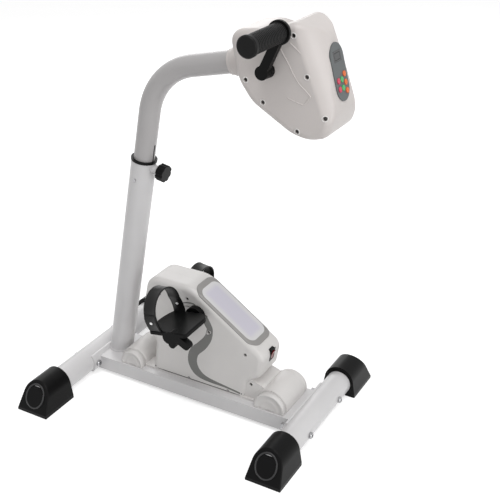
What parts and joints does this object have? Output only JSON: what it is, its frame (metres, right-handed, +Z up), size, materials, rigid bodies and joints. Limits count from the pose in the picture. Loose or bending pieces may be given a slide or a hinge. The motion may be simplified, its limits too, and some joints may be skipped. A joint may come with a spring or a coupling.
{
  "type": "active passive trainer",
  "caption": "Floor-standing motorised arm-and-leg exerciser: turning hand grips on a bent, height-adjustable mast and strapped pedals on a low drive unit.",
  "frame": {"origin": "on the floor, midway between the two cross beams and in the middle of their length", "axes": "+X along the cross beams to the user's right-hand side when the user faces the console from -Y, -Y towards the user, +Z up"},
  "size_m": [0.485, 0.568, 0.7922],
  "materials": {
    "white_tube": "satin",
    "white_housing": "satin",
    "black_plastic": "satin",
    "rubber": "matte",
    "steel": "brushed",
    "chrome": "polished",
    "motor_metal": "satin",
    "grey_panel": "satin",
    "console_grey": "satin",
    "display": "polished",
    "circuit_board": "satin",
    "bronze": "machined",
    "red_key": "satin",
    "green_key": "satin",
    "orange_key": "satin"
  },
  "bodies": {
    "base": {"rear_beam": "white_tube", "front_beam": "white_tube", "rear_left_foot_cap": "black_plastic", "rear_right_foot_cap": "black_plastic", "front_left_foot_cap": "black_plastic", "front_right_foot_cap": "black_plastic", "deck_channel": "white_tube", "beam_bolts": "chrome", "mast_outer_tube": "white_tube", "mast_bush": "black_plastic", "bush_screws": "chrome", "base_tray": "white_housing", "unit_left_shell": "white_housing", "unit_right_shell": "white_housing", "unit_screws": "chrome", "top_panel": "grey_panel", "switch_bezel": "black_plastic", "drive_frame": "steel", "leg_bearings": "steel", "leg_motor": "motor_metal", "drive_belt": "rubber", "power_supply": "black_plastic", "power_inlet": "black_plastic"},
    "clamp": {"clamp_knob": "black_plastic"},
    "upper": {"upper_tube": "white_tube", "tube_guide": "black_plastic", "head_left_shell": "white_housing", "head_right_shell": "white_housing", "head_screws": "chrome", "head_collar": "white_housing", "console_plate": "console_grey", "display_window": "display", "control_board": "circuit_board", "arm_bracket": "steel", "arm_bearings": "steel", "arm_motor": "motor_metal"},
    "arm_crank": {"arm_shaft": "steel", "worm_wheel": "bronze", "left_arm_crank": "black_plastic", "right_arm_crank": "black_plastic"},
    "worm": {"worm": "steel"},
    "left_grip": {"left_grip": "rubber"},
    "right_grip": {"right_grip": "rubber"},
    "leg_crank": {"leg_shaft": "steel", "crank_pulley": "black_plastic", "left_leg_crank": "black_plastic", "right_leg_crank": "black_plastic"},
    "motor_pulley": {"motor_pulley": "steel"},
    "left_pedal": {"left_pedal": "black_plastic", "left_strap": "rubber"},
    "right_pedal": {"right_pedal": "black_plastic", "right_strap": "rubber"},
    "rocker": {"switch_rocker": "red_key"},
    "left_button_1": {"left_button_1": "red_key"},
    "left_button_2": {"left_button_2": "red_key"},
    "middle_button_1": {"middle_button_1": "green_key"},
    "middle_button_2": {"middle_button_2": "green_key"},
    "right_button_1": {"right_button_1": "orange_key"},
    "right_button_2": {"right_button_2": "orange_key"},
    "right_button_3": {"right_button_3": "orange_key"}
  },
  "joints": [
    {"name": "mast_slide", "type": "slide", "parent": "base", "child": "upper", "axis": [0, -0.1891, 0.982], "range_m": [-0.035, 0.1]},
    {"name": "clamp_knob_turn", "type": "hinge", "parent": "base", "child": "clamp", "pos_m": [0, 0.07808, 0.4591], "axis": [0, -0.982, -0.1891], "range_deg": [0, 360]},
    {"name": "arm_crank_turn", "type": "hinge", "parent": "upper", "child": "arm_crank", "pos_m": [0, -0.17072, 0.70318], "axis": [1, 0, 0], "continuous": true},
    {"name": "worm_turn", "type": "hinge", "parent": "upper", "child": "worm", "pos_m": [0, -0.17072, 0.66508], "axis": [0, 1, 0], "continuous": true},
    {"name": "leg_crank_turn", "type": "hinge", "parent": "base", "child": "leg_crank", "pos_m": [0, 0.02, 0.165], "axis": [1, 0, 0], "continuous": true},
    {"name": "motor_pulley_turn", "type": "hinge", "parent": "base", "child": "motor_pulley", "pos_m": [0, -0.084, 0.105], "axis": [1, 0, 0], "continuous": true},
    {"name": "rocker_tip", "type": "hinge", "parent": "base", "child": "rocker", "pos_m": [0, -0.15311, 0.13374], "axis": [-1, 0, 0], "range_deg": [0, 16]},
    {"name": "left_grip_turn", "type": "hinge", "parent": "arm_crank", "child": "left_grip", "pos_m": [-0.063, -0.20387, 0.77268], "axis": [1, 0, 0], "continuous": true},
    {"name": "left_pedal_turn", "type": "hinge", "parent": "leg_crank", "child": "left_pedal", "pos_m": [-0.041, -0.01473, 0.20097], "axis": [1, 0, 0], "continuous": true},
    {"name": "right_grip_turn", "type": "hinge", "parent": "arm_crank", "child": "right_grip", "pos_m": [0.063, -0.13757, 0.63368], "axis": [1, 0, 0], "continuous": true},
    {"name": "right_pedal_turn", "type": "hinge", "parent": "leg_crank", "child": "right_pedal", "pos_m": [0.041, 0.05473, 0.12903], "axis": [1, 0, 0], "continuous": true},
    {"name": "left_button_1_press", "type": "slide", "parent": "upper", "child": "left_button_1", "axis": [0, 0.9661, -0.2581], "range_m": [0, 0.0008], "stiffness_N_per_m": 800, "springref_m": -0.0005},
    {"name": "left_button_2_press", "type": "slide", "parent": "upper", "child": "left_button_2", "axis": [0, 0.9661, -0.2581], "range_m": [0, 0.0008], "stiffness_N_per_m": 800, "springref_m": -0.0005},
    {"name": "middle_button_1_press", "type": "slide", "parent": "upper", "child": "middle_button_1", "axis": [0, 0.9661, -0.2581], "range_m": [0, 0.0008], "stiffness_N_per_m": 800, "springref_m": -0.0005},
    {"name": "middle_button_2_press", "type": "slide", "parent": "upper", "child": "middle_button_2", "axis": [0, 0.9661, -0.2581], "range_m": [0, 0.0008], "stiffness_N_per_m": 800, "springref_m": -0.0005},
    {"name": "right_button_1_press", "type": "slide", "parent": "upper", "child": "right_button_1", "axis": [0, 0.9661, -0.2581], "range_m": [0, 0.0008], "stiffness_N_per_m": 800, "springref_m": -0.0005},
    {"name": "right_button_2_press", "type": "slide", "parent": "upper", "child": "right_button_2", "axis": [0, 0.9661, -0.2581], "range_m": [0, 0.0008], "stiffness_N_per_m": 800, "springref_m": -0.0005},
    {"name": "right_button_3_press", "type": "slide", "parent": "upper", "child": "right_button_3", "axis": [0, 0.9661, -0.2581], "range_m": [0, 0.0008], "stiffness_N_per_m": 800, "springref_m": -0.0005}
  ],
  "couplings": [
    {"joint": "worm_turn", "follows": "arm_crank_turn", "ratio": 30},
    {"joint": "motor_pulley_turn", "follows": "leg_crank_turn", "ratio": 3.8148}
  ]
}
